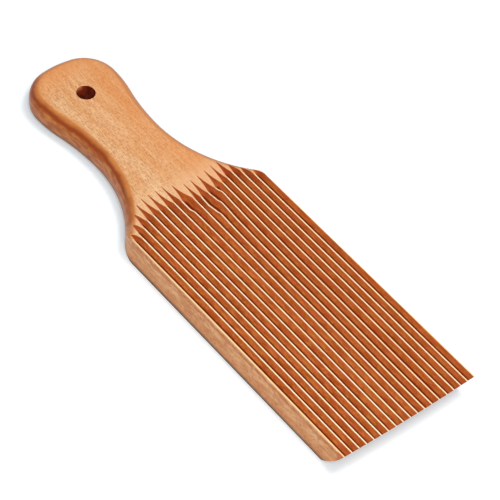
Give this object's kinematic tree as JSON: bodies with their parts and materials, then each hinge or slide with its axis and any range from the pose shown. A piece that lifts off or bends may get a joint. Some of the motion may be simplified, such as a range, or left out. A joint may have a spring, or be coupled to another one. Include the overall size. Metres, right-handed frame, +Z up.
{
  "type": "gnocchi board",
  "caption": "Flat beech board with a lengthwise ridged blade, undercut to a thin toothed lip, and a rounded paddle handle with a hanging hole, for rolling ridges into pasta dough.",
  "frame": {"origin": "under the middle of the board's box, on the surface that the board lies on", "axes": "+X along the board, from the hanging end of the handle to the thin ridged front end; +Z up, out of the ridged face; +Y across the board"},
  "size_m": [0.2094, 0.062, 0.0122],
  "materials": {
    "beech": "fine sanded beech with a thin oil finish, short darker flecks along the length"
  },
  "bodies": {
    "root": {"ridged_board": "beech"}
  },
  "joints": []
}
